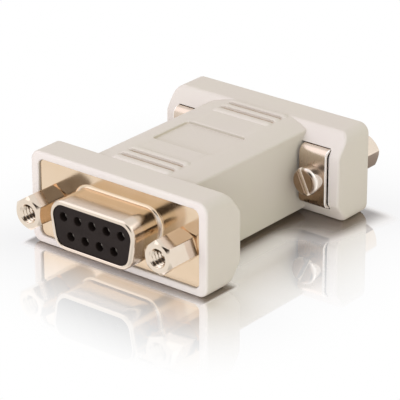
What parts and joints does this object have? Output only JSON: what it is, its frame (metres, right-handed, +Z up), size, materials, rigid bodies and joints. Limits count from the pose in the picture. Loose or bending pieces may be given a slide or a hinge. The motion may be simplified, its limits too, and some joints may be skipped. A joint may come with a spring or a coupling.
{
  "type": "d-sub gender changer",
  "caption": "Straight adapter with a female D connector at each end of a waisted moulded housing, with hexagonal jack sockets, brackets and slotted screws.",
  "frame": {"origin": "centre of the footprint, on the underside", "axes": "+X to the right seen from the front, +Y from the front socket face to the rear one, +Z up"},
  "size_m": [0.034, 0.0516, 0.0156],
  "materials": {
    "housing": "fine satin moulded PVC",
    "inner_mould": "plain moulded",
    "board": "solder mask",
    "shell": "bright nickel plated steel",
    "insulator": "glass filled, satin",
    "contact": "gold flashed",
    "jack_socket": "nickel plated",
    "bracket": "nickel plated, slightly worn",
    "screw": "nickel plated"
  },
  "bodies": {
    "root": {"housing": "housing", "inner_mould": "inner_mould", "circuit_board": "board", "front_shell": "shell", "front_back_shell": "shell", "front_face_insulator": "insulator", "front_base_insulator": "insulator", "front_contact_1": "contact", "front_contact_2": "contact", "front_contact_3": "contact", "front_contact_4": "contact", "front_contact_5": "contact", "front_contact_6": "contact", "front_contact_7": "contact", "front_contact_8": "contact", "front_contact_9": "contact", "front_left_jack_socket": "jack_socket", "front_left_bracket": "bracket", "front_left_screw": "screw", "front_right_jack_socket": "jack_socket", "front_right_bracket": "bracket", "front_right_screw": "screw", "rear_shell": "shell", "rear_back_shell": "shell", "rear_face_insulator": "insulator", "rear_base_insulator": "insulator", "rear_contact_1": "contact", "rear_contact_2": "contact", "rear_contact_3": "contact", "rear_contact_4": "contact", "rear_contact_5": "contact", "rear_contact_6": "contact", "rear_contact_7": "contact", "rear_contact_8": "contact", "rear_contact_9": "contact", "rear_left_jack_socket": "jack_socket", "rear_left_bracket": "bracket", "rear_left_screw": "screw", "rear_right_jack_socket": "jack_socket", "rear_right_bracket": "bracket", "rear_right_screw": "screw"}
  },
  "joints": []
}
